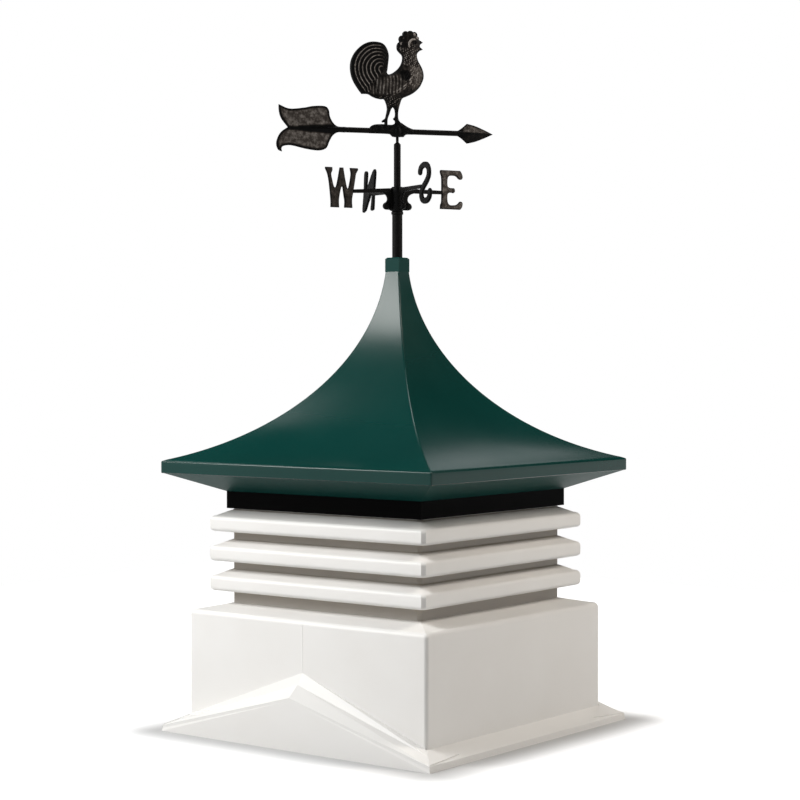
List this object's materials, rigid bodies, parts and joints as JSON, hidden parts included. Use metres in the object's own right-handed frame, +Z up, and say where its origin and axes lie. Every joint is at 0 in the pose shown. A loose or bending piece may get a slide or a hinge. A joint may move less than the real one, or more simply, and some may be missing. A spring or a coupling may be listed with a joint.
{
  "type": "barn cupola",
  "caption": "Square barn cupola with a skirted base, louvred neck, concave pyramid roof and a rooster weathervane that turns on its mast.",
  "frame": {"origin": "on the ground plane under the middle of the base", "axes": "+Z up along the mast; the gable faces of the base look along Y and the eave faces along X"},
  "size_m": [0.692, 0.694, 1.4469],
  "materials": {
    "white": "satin moulded white plastic",
    "black_band": "satin black plastic",
    "green_roof": "glossy deep green plastic",
    "black_metal": "cast aluminium with a worn black paint",
    "fixings": "zinc-plated steel"
  },
  "bodies": {
    "cupola": {"base_left_half": "white", "base_right_half": "white", "left_eave_skirt": "white", "right_eave_skirt": "white", "front_skirt_left": "white", "front_skirt_right": "white", "back_skirt_left": "white", "back_skirt_right": "white", "front_panel_left": "white", "front_panel_right": "white", "back_panel_left": "white", "back_panel_right": "white", "louvre_left_half": "white", "louvre_right_half": "white", "vent_band": "black_band", "roof_shell": "green_roof", "roof_soffit": "green_roof", "roof_collar": "green_roof", "mast": "black_metal", "mast_collar": "black_metal", "spindle": "black_metal", "compass_hub": "black_metal", "east_arm": "black_metal", "north_arm": "black_metal", "west_arm": "black_metal", "south_arm": "black_metal", "east_letter": "black_metal", "north_letter": "black_metal", "west_letter": "black_metal", "south_letter": "black_metal", "mast_plate": "fixings", "mast_nut": "fixings"},
    "vane": {"vane_hub": "black_metal", "arrow_shaft_front": "black_metal", "arrow_shaft_rear": "black_metal", "arrow_head": "black_metal", "arrow_tail": "black_metal", "rooster_body": "black_metal", "rooster_plume": "black_metal", "rooster_head": "black_metal", "rooster_legs": "black_metal"}
  },
  "joints": [
    {"name": "vane_spin", "type": "hinge", "parent": "cupola", "child": "vane", "pos_m": [0, 0, 1.235], "axis": [0, 0, 1], "continuous": true}
  ]
}
